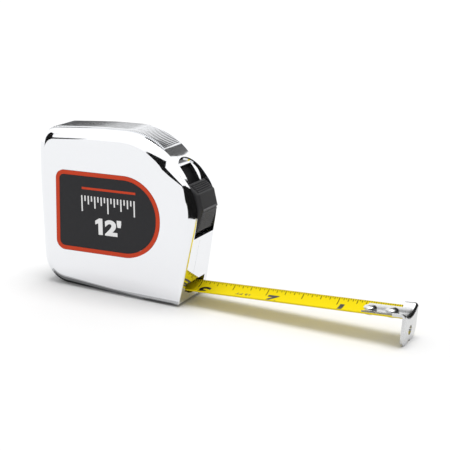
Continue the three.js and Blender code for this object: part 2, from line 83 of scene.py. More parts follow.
# %% Camera
camera_data = bpy.data.cameras.new("camera")
camera_data.lens = 94.43
camera_data.sensor_width = 36
camera_data.clip_start = 0.01
camera_data.clip_end = 60
camera = bpy.data.objects.new("camera", camera_data)
scene.collection.objects.link(camera)
view_azimuth = math.radians(25.88)
view_elevation = math.radians(15.93)
view_roll = math.radians(1.765)
turn = Matrix.Rotation(view_azimuth, 4, "Z") @ Matrix.Rotation(math.pi / 2 - view_elevation, 4, "X")
stand = Matrix.Translation((0.20425, -0.3411, 0.13669))
camera.matrix_world = stand @ turn @ Matrix.Rotation(view_roll, 4, "Z")
scene.camera = camera
print("camera at", [round(v, 3) for v in camera.matrix_world.translation])

# %% [markdown]
# ## The studio
# Chrome has no colour of its own: it shows the room. A white room makes it vanish into the
# background, so product photographers stand black cards between the lights, and the cards
# draw the dark lines that give the metal its shape. The room is a white world. It is dimmer
# for matt surfaces, so that the light from above can leave a shadow on them. The cards are
# curved strips round the object that only polished surfaces see.

# %% Node helpers and the room
def new_group(name, inputs, outputs):
    group = bpy.data.node_groups.new(name, "ShaderNodeTree")
    for title, kind in inputs:
        group.interface.new_socket(name=title, in_out="INPUT", socket_type=kind)
    for title, kind in outputs:
        group.interface.new_socket(name=title, in_out="OUTPUT", socket_type=kind)
    return group, group.nodes.new("NodeGroupInput"), group.nodes.new("NodeGroupOutput")


def feed(tree, sockets, values):
    """Links each value that is a socket, and sets each one that is a plain number or colour."""
    for socket, value in zip(sockets, values):
        if isinstance(value, bpy.types.NodeSocket):
            tree.links.new(value, socket)
        elif value is not None:
            socket.default_value = value


def math_node(tree, operation, a, b=None, c=None, clamp=False):
    node = tree.nodes.new("ShaderNodeMath")
    node.operation = operation
    node.use_clamp = clamp
    feed(tree, node.inputs, (a, b, c))
    return node.outputs[0]


def vector_node(tree, operation, a, b=None):
    node = tree.nodes.new("ShaderNodeVectorMath")
    node.operation = operation
    feed(tree, node.inputs, (a, b))
    return node.outputs["Value"] if operation in ("DOT_PRODUCT", "LENGTH") else node.outputs[0]


def colour_mix(tree, factor, a, b):
    node = tree.nodes.new("ShaderNodeMix")
    node.data_type = "RGBA"
    feed(tree, (node.inputs["Factor"], node.inputs["A"], node.inputs["B"]), (factor, a, b))
    return node.outputs["Result"]


def matt_paint(name, tone, roughness, specular):
    paint = bpy.data.materials.new(name)
    paint.use_nodes = True
    shader = paint.node_tree.nodes["Principled BSDF"]
    shader.inputs["Base Color"].default_value = (tone, tone, tone, 1)
    shader.inputs["Roughness"].default_value = roughness
    shader.inputs["Specular IOR Level"].default_value = specular
    return paint


room_for_matt = 0.68
room_for_gloss = 1.23
world = bpy.data.worlds.new("studio")
world.use_nodes = True
scene.world = world
world.node_tree.nodes["Background"].inputs["Color"].default_value = (1.0, 1.0, 1.0, 1)
light_path = world.node_tree.nodes.new("ShaderNodeLightPath")
seen = math_node(world.node_tree, "MAXIMUM", light_path.outputs["Is Glossy Ray"],
                 light_path.outputs["Is Camera Ray"])
room_light = math_node(world.node_tree, "MULTIPLY_ADD", seen, room_for_gloss - room_for_matt, room_for_matt)
world.node_tree.links.new(room_light, world.node_tree.nodes["Background"].inputs["Strength"])
scene.view_settings.view_transform = "Standard"
print("room light on matt and on polished surfaces:", room_for_matt, room_for_gloss)

# %% [markdown]
# ## The black cards
# Each card is a curved strip that stands on the floor, given by its directions and heights. A
# flat card would be simpler, but its line in the chrome would run out before the corner does.

# %% Cards
card_centre = Vector((0.012, -0.006, 0.045))


def stage_mesh(bm, name, tone):
    """A dark sheet that only polished surfaces see: a black card, or painted shadow on the floor."""
    mesh = bpy.data.meshes.new(name)
    bm.to_mesh(mesh)
    bm.free()
    made = bpy.data.objects.new(name, mesh)
    scene.collection.objects.link(made)
    mesh.materials.append(matt_paint(name, tone, 1.0, 0.0))
    made.visible_camera = False
    made.visible_diffuse = False
    made.visible_shadow = False
    made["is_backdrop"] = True
    return made


def card(name, radius, edge, tone):
    """A curved strip. edge lists azimuth (0 is +Y, 90 is +X), low and high elevation in degrees."""
    strip = bmesh.new()
    columns = []
    for azimuth, low, high in edge:
        turn = math.radians(azimuth)
        out = Vector((math.sin(turn), math.cos(turn), 0)) * radius * mm
        heights = [max(0.0005, card_centre.z + radius * mm * math.tan(math.radians(e))) for e in (low, high)]
        columns.append([strip.verts.new((card_centre.x + out.x, card_centre.y + out.y, h)) for h in heights])
    for left, right in zip(columns, columns[1:]):
        strip.faces.new((left[0], right[0], right[1], left[1]))
    return stage_mesh(strip, name, tone)


card("right_card", 120, [(32, -30, 30), (45, -30, 32), (60, -30, 40), (90, -30, 44), (125, -30, 47),
                         (138, -30, 43), (150, -30, 40)], 0.012)
card("front_card", 260, [(150, -2, 40), (165, -2, 35), (174, -2, 30), (182, -2, 25), (191, -2, 18),
                         (197, -2, 9), (201, -2, 0)], 0.012)
card("left_card", 262, [(218, 2, 10), (222, 1, 12), (226, -2, 16), (231, -8, 27), (236, -5, 35),
                        (242, 0, 38), (249, 6, 38), (257, 14, 36), (265, 24, 34)], 0.012)
card("grey_card", 400, [(-16, 24, 62), (-4, 27, 66), (8, 27, 66), (16, 26, 60)], 0.16)
# Painted shadow: graded dark sheets under the case, seen only in the chrome, stand in for its contact shadow
# on the floor.
floor_shade = [(0.0007, 0.0, 0.04), (0.0005, 2.5, 0.22), (0.0003, 5.0, 0.5)]
for height, margin, tone in floor_shade:
    pad = bmesh.new()
    west, east, reach = (-26 - margin) * mm, (22 + margin) * mm, (9.0 + margin) * mm
    pad.faces.new([pad.verts.new(p) for p in ((west, -reach, height), (east, -reach, height),
                                              (east, reach, height), (west, reach, height))])
    stage_mesh(pad, f"floor_shade_{margin:.0f}", tone)

# %% [markdown]
# ## The floor and the light from above
# The floor is a wide sheet of paper. One broad light hangs above the tape, made as a sun with
# a wide angle: its rays reach all of the floor alike, and its shadows have soft edges.

# %% Floor and top light
floor_mesh = bpy.data.meshes.new("floor")
floor_bm = bmesh.new()
bmesh.ops.create_circle(floor_bm, cap_ends=True, segments=64, radius=20)
floor_bm.to_mesh(floor_mesh)
floor_bm.free()
floor = bpy.data.objects.new("floor", floor_mesh)
scene.collection.objects.link(floor)
floor_mesh.materials.append(matt_paint("white_paper", 0.81, 0.75, 0.2))
floor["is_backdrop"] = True

sky_panel = bpy.data.lights.new("sky_panel", "SUN")
sky_panel.energy = 1.95
sky_panel.angle = math.radians(34)
sky = bpy.data.objects.new("sky_panel", sky_panel)
scene.collection.objects.link(sky)
sky.rotation_euler = (math.radians(-4), math.radians(2), 0)
print("floor radius in metres:", round(floor.dimensions.x / 2, 1))

# %% [markdown]
# ## Shared surface effects
# Two effects are used by many finishes, so each is a node group that is built once: a fine
# grain for moulded and painted surfaces, and the faint wipe marks that handling leaves on
# anything polished. Both read Object coordinates, which stay put on a piece as it moves.

# %% Grain and wipe marks
grain_group, grain_in, grain_out = new_group(
    "fine_grain", [("Scale", "NodeSocketFloat"), ("Detail", "NodeSocketFloat")],
    [("Height", "NodeSocketFloat")])
grain_place = grain_group.nodes.new("ShaderNodeTexCoord").outputs["Object"]
grain_noise = grain_group.nodes.new("ShaderNodeTexNoise")
grain_group.links.new(grain_place, grain_noise.inputs["Vector"])
grain_group.links.new(grain_in.outputs["Scale"], grain_noise.inputs["Scale"])
grain_group.links.new(grain_in.outputs["Detail"], grain_noise.inputs["Detail"])
grain_group.links.new(grain_noise.outputs["Fac"], grain_out.inputs["Height"])

wipe_group, wipe_in, wipe_out = new_group(
    "wipe_marks", [("Scale", "NodeSocketFloat"), ("Stretch", "NodeSocketVector")],
    [("Marks", "NodeSocketFloat")])
wipe_place = wipe_group.nodes.new("ShaderNodeTexCoord").outputs["Object"]
stretched = vector_node(wipe_group, "MULTIPLY", wipe_place, wipe_in.outputs["Stretch"])
hairlines = wipe_group.nodes.new("ShaderNodeTexNoise")
hairlines.inputs["Detail"].default_value = 4
wipe_group.links.new(stretched, hairlines.inputs["Vector"])
wipe_group.links.new(wipe_in.outputs["Scale"], hairlines.inputs["Scale"])
smudges = wipe_group.nodes.new("ShaderNodeTexNoise")
smudges.inputs["Scale"].default_value = 60
wipe_group.links.new(wipe_place, smudges.inputs["Vector"])
marks = math_node(wipe_group, "MULTIPLY", hairlines.outputs["Fac"], smudges.outputs["Fac"])
wipe_group.links.new(math_node(wipe_group, "MULTIPLY", marks, 2.0, clamp=True), wipe_out.inputs["Marks"])
print("shared effects:", grain_group.name, wipe_group.name)

# %% [markdown]
# ## Finishes
# Every finish starts from the same few lines: a Principled shader, its plain numbers set on
# its own sockets, and then grain through a Bump node or marks into the roughness.

# %% Finish helpers
def finish(name, colour, roughness, metallic=0.0, specular=0.5, coat=0.0):
    skin = bpy.data.materials.new(name)
    skin.use_nodes = True
    shader = skin.node_tree.nodes["Principled BSDF"]
    shader.inputs["Base Color"].default_value = (*colour, 1)
    shader.inputs["Roughness"].default_value = roughness
    shader.inputs["Metallic"].default_value = metallic
    shader.inputs["Specular IOR Level"].default_value = specular
    shader.inputs["Coat Weight"].default_value = coat
    return skin


def add_grain(skin, scale, strength, height, detail=3.0):
    tree = skin.node_tree
    grain = tree.nodes.new("ShaderNodeGroup")
    grain.node_tree = grain_group
    grain.inputs["Scale"].default_value = scale
    grain.inputs["Detail"].default_value = detail
    bump = tree.nodes.new("ShaderNodeBump")
    bump.inputs["Strength"].default_value = strength
    bump.inputs["Distance"].default_value = height
    tree.links.new(grain.outputs["Height"], bump.inputs["Height"])
    tree.links.new(bump.outputs["Normal"], tree.nodes["Principled BSDF"].inputs["Normal"])
    return bump


def add_marks(skin, low, high, scale=400, stretch=(1, 1, 1)):
    tree = skin.node_tree
    wipes = tree.nodes.new("ShaderNodeGroup")
    wipes.node_tree = wipe_group
    wipes.inputs["Scale"].default_value = scale
    wipes.inputs["Stretch"].default_value = stretch
    rough = math_node(tree, "MULTIPLY_ADD", wipes.outputs["Marks"], high - low, low)
    tree.links.new(rough, tree.nodes["Principled BSDF"].inputs["Roughness"])
    return wipes.outputs["Marks"]


def add_mottle(skin, colour, other, scale, amount):
    """Lets the colour drift a little towards another one, in soft patches."""
    tree = skin.node_tree
    grain = tree.nodes.new("ShaderNodeGroup")
    grain.node_tree = grain_group
    grain.inputs["Scale"].default_value = scale
    grain.inputs["Detail"].default_value = 4
    share = math_node(tree, "MULTIPLY", grain.outputs["Height"], amount)
    mottled = colour_mix(tree, share, (*colour, 1), (*other, 1))
    tree.links.new(mottled, tree.nodes["Principled BSDF"].inputs["Base Color"])
    return mottled


# %% Chrome, steel and plastics
chrome = finish("chrome_plate", (0.84, 0.85, 0.87), 0.05, metallic=1.0)
add_marks(chrome, 0.035, 0.085, scale=300, stretch=(1, 1, 9))
add_grain(chrome, 900, 0.02, 0.00002)

hook_steel = finish("nickel_steel", (0.66, 0.665, 0.67), 0.3, metallic=1.0)
add_marks(hook_steel, 0.2, 0.36, scale=900, stretch=(1, 6, 1))
add_grain(hook_steel, 2500, 0.08, 0.00003)

# Painted shade: the bed under the top ribs is a darker grey than the chrome, for the shade in the grooves
# between the ribs.
rib_bed_painted_shade = finish("rib_bed_painted_shade", (0.42, 0.425, 0.43), 0.4, metallic=1.0)
add_marks(rib_bed_painted_shade, 0.3, 0.55)
add_grain(rib_bed_painted_shade, 2500, 0.1, 0.00003)

spring_steel = finish("blued_steel", (0.16, 0.19, 0.26), 0.3, metallic=1.0)
add_marks(spring_steel, 0.22, 0.45, scale=800, stretch=(1, 8, 1))
add_mottle(spring_steel, (0.16, 0.19, 0.26), (0.34, 0.26, 0.16), 120, 0.7)

lock_plastic = finish("lock_plastic", (0.028, 0.028, 0.030), 0.5, specular=0.25)
add_grain(lock_plastic, 5200, 0.35, 0.00003)
add_mottle(lock_plastic, (0.024, 0.024, 0.026), (0.036, 0.036, 0.038), 900, 0.8)

# Painted shade: the lock's sides are the same plastic as its front, coloured far darker for the shade that
# falls on them.
lock_sides_painted_shade = finish("lock_sides_painted_shade", (0.006, 0.006, 0.007), 0.3, specular=0.3)
add_grain(lock_sides_painted_shade, 1200, 0.05, 0.00002)
add_marks(lock_sides_painted_shade, 0.26, 0.42)

# Painted highlight: a lighter grey than the lock's plastic, for the light caught on the crests of the lower
# ribs and on the ridge.
lock_painted_highlight = finish("lock_painted_highlight", (0.085, 0.087, 0.09), 0.5, specular=0.3)
add_grain(lock_painted_highlight, 5200, 0.3, 0.00003)
add_mottle(lock_painted_highlight, (0.07, 0.07, 0.073), (0.15, 0.15, 0.155), 900, 0.8)

black_plastic = finish("black_plastic", (0.008, 0.008, 0.009), 0.6, specular=0.1)
add_grain(black_plastic, 3800, 0.3, 0.00003)
add_marks(black_plastic, 0.38, 0.6)

reel_plastic = finish("reel_plastic", (0.03, 0.031, 0.033), 0.5)
add_grain(reel_plastic, 3000, 0.3, 0.00003)
add_mottle(reel_plastic, (0.028, 0.029, 0.031), (0.05, 0.05, 0.052), 300, 0.6)

brake_rubber = finish("brake_rubber", (0.015, 0.015, 0.015), 0.85, specular=0.3)
add_grain(brake_rubber, 6000, 0.6, 0.00005)
add_mottle(brake_rubber, (0.012, 0.012, 0.012), (0.03, 0.029, 0.028), 800, 0.8)

# %% Label finishes
panel_grey = finish("label_charcoal", (0.020, 0.020, 0.022), 0.5, specular=0.22)
add_grain(panel_grey, 4200, 0.15, 0.00002)
add_mottle(panel_grey, (0.018, 0.018, 0.020), (0.024, 0.024, 0.027), 700, 0.7)

border_orange = finish("label_orange", (0.62, 0.055, 0.014), 0.45, specular=0.18)
add_grain(border_orange, 1800, 0.06, 0.00003)
add_mottle(border_orange, (0.63, 0.056, 0.014), (0.50, 0.042, 0.012), 260, 0.6)

print_white = finish("print_white", (0.93, 0.93, 0.93), 0.45)
add_grain(print_white, 3500, 0.08, 0.00002)
add_mottle(print_white, (0.88, 0.88, 0.88), (0.78, 0.78, 0.78), 900, 0.5)

print_black = finish("print_black", (0.012, 0.011, 0.008), 0.35)
add_grain(print_black, 3500, 0.08, 0.00002)
add_marks(print_black, 0.3, 0.45)

# %% [markdown]
# ## The printed scale
# The graduations could be hundreds of thin bars, but ink has no height, so they are painted by
# the material. One row of lines has a period, a reach from the blade's far edge and a width.
# Six rows, from thirty-seconds to whole inches, are laid over each other. The distance along
# the blade is measured on its own slope, back from the inside of the hook, as on a real rule.

# %% One row of graduation lines
inch = 25.4
blade_rise = 0.0588
blade_axis = Vector((1, 0, blade_rise)).normalized()
hook_x = 104.2
mouth_x = 28.0
mouth_edge_z = 5.5035
cup_radius = 10.2
blade_width = 12.7
blade_thick = 0.14
cup_half = cup_radius * math.sin(blade_width / 2 / cup_radius)

row_group, row_in, row_out = new_group(
    "tick_row",
    [("Along", "NodeSocketFloat"), ("Across", "NodeSocketFloat"), ("Period", "NodeSocketFloat"),
     ("Reach", "NodeSocketFloat"), ("Width", "NodeSocketFloat")],
    [("Mask", "NodeSocketFloat")])
beat = math_node(row_group, "DIVIDE", row_in.outputs["Along"], row_in.outputs["Period"])
nearest = math_node(row_group, "ROUND", beat)
off_beat = math_node(row_group, "ABSOLUTE", math_node(row_group, "SUBTRACT", beat, nearest))
off_line = math_node(row_group, "MULTIPLY", off_beat, row_in.outputs["Period"])
half_line = math_node(row_group, "MULTIPLY", row_in.outputs["Width"], 0.5)
on_line = math_node(row_group, "LESS_THAN", off_line, half_line)
in_reach = math_node(row_group, "LESS_THAN", row_in.outputs["Across"], row_in.outputs["Reach"])
row_group.links.new(math_node(row_group, "MULTIPLY", on_line, in_reach), row_out.inputs["Mask"])

# %% Blade lacquer with its scale
blade_yellow = (0.80, 0.64, 0.003)
lacquer = finish("blade_lacquer", blade_yellow, 0.6, specular=0.06)
tree = lacquer.node_tree
spot = tree.nodes.new("ShaderNodeTexCoord").outputs["Object"]
hook_point = Vector((hook_x, 0, mouth_edge_z + blade_rise * (hook_x - mouth_x)))
along = vector_node(tree, "DOT_PRODUCT", spot, blade_axis / mm)
along = math_node(tree, "SUBTRACT", hook_point.dot(blade_axis), along)
apart = tree.nodes.new("ShaderNodeSeparateXYZ")
tree.links.new(spot, apart.inputs[0])
across = math_node(tree, "MULTIPLY_ADD", apart.outputs["Y"], -1 / mm, cup_half)
ink = None
rows = [(inch / 32, 0.75, 0.26), (inch / 16, 1.1, 0.26), (inch / 8, 1.5, 0.26),
        (inch / 4, 1.9, 0.28), (inch / 2, 2.85, 0.28), (inch, 3.55, 0.28)]
for period, reach, width in rows:
    row = tree.nodes.new("ShaderNodeGroup")
    row.node_tree = row_group
    tree.links.new(along, row.inputs["Along"])
    tree.links.new(across, row.inputs["Across"])
    row.inputs["Period"].default_value = period
    row.inputs["Reach"].default_value = reach
    row.inputs["Width"].default_value = width
    mask = row.outputs["Mask"]
    ink = mask if ink is None else math_node(tree, "MAXIMUM", ink, mask)
drift = add_mottle(lacquer, blade_yellow, (0.74, 0.58, 0.003), 350, 0.5)
inked = colour_mix(tree, ink, drift, (0.03, 0.025, 0.004, 1))
tree.links.new(inked, tree.nodes["Principled BSDF"].inputs["Base Color"])
add_grain(lacquer, 1500, 0.05, 0.00002)
print("rows of graduations:", len(rows))

# %% Blade underside with painted shade, and wound coil
# Painted shade: the blade's underside is the same lacquer as its top, coloured a darker olive for the shade
# under the blade.
blade_underside_painted_shade = finish("blade_underside_painted_shade", (0.62, 0.54, 0.008), 0.6, specular=0.1)
add_mottle(blade_underside_painted_shade, (0.62, 0.54, 0.008), (0.52, 0.45, 0.010), 500, 0.7)
add_grain(blade_underside_painted_shade, 1500, 0.05, 0.00002)

coil_low, coil_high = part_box("blade_coil")
coil_centre = (coil_low + coil_high) / 2
wound_blade = finish("wound_blade", blade_yellow, 0.4)
tree = wound_blade.node_tree
spot = tree.nodes.new("ShaderNodeTexCoord").outputs["Object"]
from_hub = vector_node(tree, "SUBTRACT", spot, coil_centre)
radius_out = vector_node(tree, "LENGTH", vector_node(tree, "MULTIPLY", from_hub, (1, 0, 1)))
shown_turn = 0.28
turns = math_node(tree, "SINE", math_node(tree, "MULTIPLY", radius_out, 2 * math.pi / (shown_turn * mm)))
wave = math_node(tree, "MULTIPLY_ADD", turns, 0.5, 0.5)
edge_tone = colour_mix(tree, wave, (0.30, 0.25, 0.01, 1), (*blade_yellow, 1))
tree.links.new(edge_tone, tree.nodes["Principled BSDF"].inputs["Base Color"])
print("coil centre in mm:", [round(v / mm, 1) for v in coil_centre])

# %% [markdown]
# ## Turning a bmesh into a piece
# Shapes are worked in millimetres, where their sizes are easy to read, and scaled to metres
# when they are done. Edges sharper than a limit keep a crease, and all others are smoothed.

# %% Piece helpers
def shape_object(bm, name):
    """Puts a bmesh, in millimetres, into a new object that isn't a piece yet."""
    bmesh.ops.recalc_face_normals(bm, faces=bm.faces)
    mesh = bpy.data.meshes.new(name)
    bm.to_mesh(mesh)
    bm.free()
    made = bpy.data.objects.new(name, mesh)
    scene.collection.objects.link(made)
    return made


def carve(target, cutter, operation="DIFFERENCE"):
    """Cuts one object with another, and keeps the result as plain mesh."""
    cut = target.modifiers.new("cut", "BOOLEAN")
    cut.operation = operation
    cut.solver = "EXACT"
    cut.object = cutter
    bpy.context.view_layer.update()
    evaluated = target.evaluated_get(bpy.context.evaluated_depsgraph_get())
    result = bpy.data.meshes.new_from_object(evaluated)
    target.modifiers.clear()
    old = target.data
    target.data = result
    bpy.data.meshes.remove(old)
    bpy.data.objects.remove(cutter)
    return target


def soften(mesh, crease_angle):
    """Smooths every face, and keeps a crease where two faces meet more sharply than the angle."""
    bm = bmesh.new()
    bm.from_mesh(mesh)
    bmesh.ops.remove_doubles(bm, verts=bm.verts, dist=0.002)
    bmesh.ops.dissolve_degenerate(bm, edges=bm.edges, dist=0.001)
    limit = math.radians(crease_angle)
    for face in bm.faces:
        face.smooth = True
    for edge in bm.edges:
        edge.smooth = edge.is_manifold and edge.calc_face_angle(math.pi) < limit
    bmesh.ops.scale(bm, vec=(mm, mm, mm), verts=bm.verts)
    bm.to_mesh(mesh)
    bm.free()


def settle(piece, skins, body=None, replaced=(), crease_angle=32, round_edge=0.0, weighted=True):
    """Scales a shape to metres, dresses it, and puts it on its body."""
    soften(piece.data, crease_angle)
    piece.data.materials.clear()
    for skin in skins:
        piece.data.materials.append(skin)
    if round_edge:
        edge = piece.modifiers.new("rounded_edges", "BEVEL")
        edge.width = round_edge * mm
        edge.segments = 2
        edge.limit_method = "ANGLE"
        edge.angle_limit = math.radians(40)
        edge.harden_normals = False
    if weighted:
        piece.modifiers.new("even_normals", "WEIGHTED_NORMAL").keep_sharp = True
    if body:
        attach(piece, body)
    if replaced:
        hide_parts(*replaced)
    print(piece.name, "faces:", len(piece.data.polygons))
    return piece


def pull(bm, faces, way):
    """Extrudes flat faces along a way, so that they become a closed solid."""
    grown = bmesh.ops.extrude_face_region(bm, geom=faces)["geom"]
    bmesh.ops.translate(bm, vec=way, verts=[g for g in grown if isinstance(g, bmesh.types.BMVert)])


def extruded(points, depth, name="cutter"):
    """A closed prism: points are (x, y, z) of one end, and depth is the way to the other."""
    bm = bmesh.new()
    pull(bm, [bm.faces.new([bm.verts.new(p) for p in points])], depth)
    return shape_object(bm, name)


# %% [markdown]
# ## The case outline
# Seen from the side, the case is nine straight runs joined by arcs. Each corner is written as
# a point and a radius, and a function walks round them. The same function makes the label's
# outline, and an inset copy makes the hollow inside.

# %% Outline functions
def rounded_outline(corners, step=4.0):
    points = []
    count = len(corners)
    for i, (x, z, radius) in enumerate(corners):
        px, pz, _ = corners[i - 1]
        nx, nz, _ = corners[(i + 1) % count]
        heading = math.atan2(z - pz, x - px)
        bend = math.atan2(nz - z, nx - x) - heading
        bend = math.atan2(math.sin(bend), math.cos(bend))
        back = radius * math.tan(abs(bend) / 2)
        side = math.copysign(1, bend)
        centre_x = x - back * math.cos(heading) - side * radius * math.sin(heading)
        centre_z = z - back * math.sin(heading) + side * radius * math.cos(heading)
        pieces = max(2, math.ceil(abs(math.degrees(bend)) / step))
        for k in range(pieces + 1):
            angle = heading + bend * k / pieces - side * math.pi / 2
            points.append((centre_x + radius * math.cos(angle), centre_z + radius * math.sin(angle)))
    return points


def inset_corners(corners, inset):
    count = len(corners)
    lines = []
    for i, (x, z, _) in enumerate(corners):
        nx, nz, _ = corners[(i + 1) % count]
        way = Vector((nx - x, nz - z)).normalized()
        lines.append((way, Vector((x - way.y * inset, z + way.x * inset))))
    moved = []
    for i, (_, _, radius) in enumerate(corners):
        (way_in, from_in), (way_out, from_out) = lines[i - 1], lines[i]
        cross = way_in.cross(way_out)
        reach = (from_out - from_in).cross(way_out) / cross
        corner = from_in + way_in * reach
        moved.append((corner.x, corner.y, max(radius - inset, 0.2) if cross > 0 else radius + inset))
    return moved


# %% Case sizes
side_y = 9.7
toe_reach, toe_heel, toe_lift = 27.0, 13.8, 0.9
nose_reach, nose_z = 33.1, 36.6
case_top, case_rear = 57.9, -30.4
shell_wall = 1.3
edge_round = 3.8
seam_y, seam_gap = -2.5, 0.06
crease_low, crease_front = math.radians(3), math.radians(30)
case_corners = [
    (toe_reach, toe_lift, 0.4),
    (nose_reach, nose_z, 17),
    (14.9, case_top, 24),
    (-7, case_top - 0.8, 150),
    (case_rear, case_top - 3, 7.5),
    (case_rear + 0.2, 38, 200),
    (case_rear + 2.4, 0, 10.5),
    (toe_heel - 0.8, 0, 0.3),
    (toe_heel, toe_lift, 0.3),
]


def side_round(x, z):
    """Radius between the side and the rim: none along the toe, and growing up the front."""
    heel_run, flush = 3.5, 0.15
    if z < edge_round + 1 and x > toe_heel - heel_run:
        fade = min(1.0, (x - toe_heel + heel_run) / heel_run)
        return edge_round + (flush - edge_round) * fade
    if x > toe_reach:
        return min(edge_round, max(flush, x - toe_reach - flush))
    return edge_round


# %% [markdown]
# ## The plated case
# The body is lofted: one ring of vertices on the near side's edge is extruded again and
# again, and each new ring is moved outwards and along by a quarter of a circle, so the round
# can be wide at the top and fade to a crisp edge at the toe. A bevel could not change its
# width along one edge. The hollow, the thumb track, its slot, the mouth and the label seats
# are then cut out, and the body is split on its seam.

# %% Loft the body
def case_body(inset, name, rows_per_round=8):
    outline = rounded_outline(inset_corners(case_corners, inset) if inset else case_corners)
    count = len(outline)
    half = side_y - inset
    bm = bmesh.new()
    place = bm.verts.layers.int.new("place")

    def spot(i, share, side):
        x, z = outline[i]
        before, after = Vector(outline[i - 1]), Vector(outline[(i + 1) % count])
        along_rim = (after - before).normalized()
        radius = max(side_round(x, z) - inset, 0.1)
        crease = crease_low + (crease_front - crease_low) * max(0.0, along_rim.y) ** 3
        lean = crease + (math.pi / 2 - crease) * share
        draw = radius * (1 - math.sin(lean)) / (1 - math.sin(crease))
        back_off = radius * (math.cos(crease) - math.cos(lean))
        return (x - along_rim.y * draw, side * (half - back_off), z + along_rim.x * draw)

    quarter = [k / rows_per_round for k in range(rows_per_round + 1)]
    rings = [(share, -1) for share in quarter] + [(share, 1) for share in reversed(quarter)]
    ring = []
    for i in range(count):
        vert = bm.verts.new(spot(i, *rings[0]))
        vert[place] = i
        ring.append(vert)
    edges = [bm.edges.new((ring[i - 1], ring[i])) for i in range(count)]
    first = list(edges)
    for lean, side in rings[1:]:
        grown = bmesh.ops.extrude_edge_only(bm, edges=edges)["geom"]
        edges = [g for g in grown if isinstance(g, bmesh.types.BMEdge)]
        for vert in (g for g in grown if isinstance(g, bmesh.types.BMVert)):
            vert.co = spot(vert[place], lean, side)
    for loop in (first, edges):
        bmesh.ops.contextual_create(bm, geom=loop)
    bmesh.ops.remove_doubles(bm, verts=bm.verts, dist=0.001)
    return shape_object(bm, name)


# %% Cutters for the track, slot, mouth and labels
track_x, track_z, track_radius = 6.1, 31.4, 23.3
track_half, slot_half = 7.0, 3.8


def on_track(radius, angle):
    angle = math.radians(angle)
    return track_x + radius * math.cos(angle), track_z + radius * math.sin(angle)


def track_block(inner, outer, low, high, half, step=2.0):
    pieces = max(2, math.ceil((high - low) / step))
    angles = [low + (high - low) * k / pieces for k in range(pieces + 1)]
    rim = [on_track(outer, a) for a in angles] + [on_track(inner, a) for a in reversed(angles)]
    return extruded([(x, -half, z) for x, z in rim], (0, 2 * half, 0))


def cylinder(radius, start, way, length, segments=48):
    bm = bmesh.new()
    turn_to = Vector((0, 0, 1)).rotation_difference(Vector(way)).to_matrix().to_4x4()
    bmesh.ops.create_circle(bm, cap_ends=True, segments=segments, radius=radius,
                            matrix=Matrix.Translation(start) @ turn_to)
    pull(bm, list(bm.faces), Vector(way).normalized() * length)
    return shape_object(bm, "cutter")


def cup_lift(y):
    return cup_radius - math.sqrt(cup_radius ** 2 - min(abs(y), cup_half) ** 2)


cup_depth = cup_lift(cup_half)


def trough_z(x):
    return mouth_edge_z + blade_rise * (x - mouth_x) - cup_depth


def mouth_cutter(half, height, drop, from_x, to_x):
    steps = 20
    lower = [(-half + 2 * half * k / steps) for k in range(steps + 1)]
    rim = [(from_x, y, cup_lift(y) - drop) for y in lower] + [(from_x, half, height), (from_x, -half, height)]
    cutter = extruded(rim, (to_x - from_x, 0, 0))
    for vert in cutter.data.vertices:
        vert.co.z += trough_z(vert.co.x)
    return cutter


def slab(y_low, y_high, reach=80):
    corners = [(-reach, y_low, -reach), (reach, y_low, -reach),
               (reach, y_low, reach), (-reach, y_low, reach)]
    return extruded(corners, (0, y_high - y_low, 0))


label_corners = [(-21.9, 13.2, 3.4), (19.4, 14.7, 13.9), (19.0, 43.2, 13.9), (-22.1, 41.7, 3.2)]
label_seat = 0.35


def label_prism(inset, y_low, y_high, name="cutter"):
    rim = rounded_outline(inset_corners(label_corners, inset) if inset else label_corners)
    return extruded([(x, y_low, z) for x, z in rim], (0, y_high - y_low, 0), name)


# %% Cut the shells
body = case_body(0, "case_body")
hollow = case_body(shell_wall, "hollow", rows_per_round=4)
carve(hollow, track_block(track_radius - shell_wall, track_radius + 8, -20, 51, side_y - shell_wall / 2))
carve(body, hollow)
arch_turn = 32
arch_end = track_block(track_radius, track_radius + 12, arch_turn, 62, track_half)
arch_way = Vector((math.cos(math.radians(arch_turn)), 0, math.sin(math.radians(arch_turn))))
carve(arch_end, cylinder(track_half, Vector((track_x, 0, track_z)) + arch_way * 10, arch_way, 40), "INTERSECT")
carve(body, arch_end)
carve(body, track_block(track_radius, track_radius + 12, -17, arch_turn + 0.02, track_half))
carve(body, track_block(track_radius - 6, track_radius + 12, 0, 42.8, slot_half))
carve(body, mouth_cutter(cup_half + 0.95, 7.5 - trough_z(mouth_x), 0.6, 19, 40))
carve(body, label_prism(-0.1, -side_y - 1, -side_y + label_seat))
carve(body, label_prism(-0.1, side_y - label_seat, side_y + 1))

near_shell = body
far_shell = body.copy()
far_shell.data = body.data.copy()
scene.collection.objects.link(far_shell)
near_shell.name = "case_near"
far_shell.name = "case_far"
carve(near_shell, slab(-40, seam_y - seam_gap / 2), "INTERSECT")
carve(far_shell, slab(seam_y + seam_gap / 2, 40), "INTERSECT")

screws = ["case_screw_1", "case_screw_2", "case_screw_3"]
screw_head = 1.9
for node in screws:
    low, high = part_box(node)
    spot = (low + high) / 2 / mm
    carve(far_shell, cylinder(screw_head + 0.12, (spot.x, side_y - 1.1, spot.z), (0, 1, 0), 4, segments=32))

settle(near_shell, [chrome], "case", ["case_shell_near"], crease_angle=24)
settle(far_shell, [chrome], "case", ["case_shell_far"], crease_angle=24)

# %% [markdown]
# ## Ribs
# A thumb slides on a smooth case, so the top has a band of fine cross ribs, and the lock has
# them too. One function makes any ribbed band: a rippled line that follows a path, closed
# underneath and extruded across. Under the top ribs lies a duller bed in a darker grey, painted shade for the
# grooves.

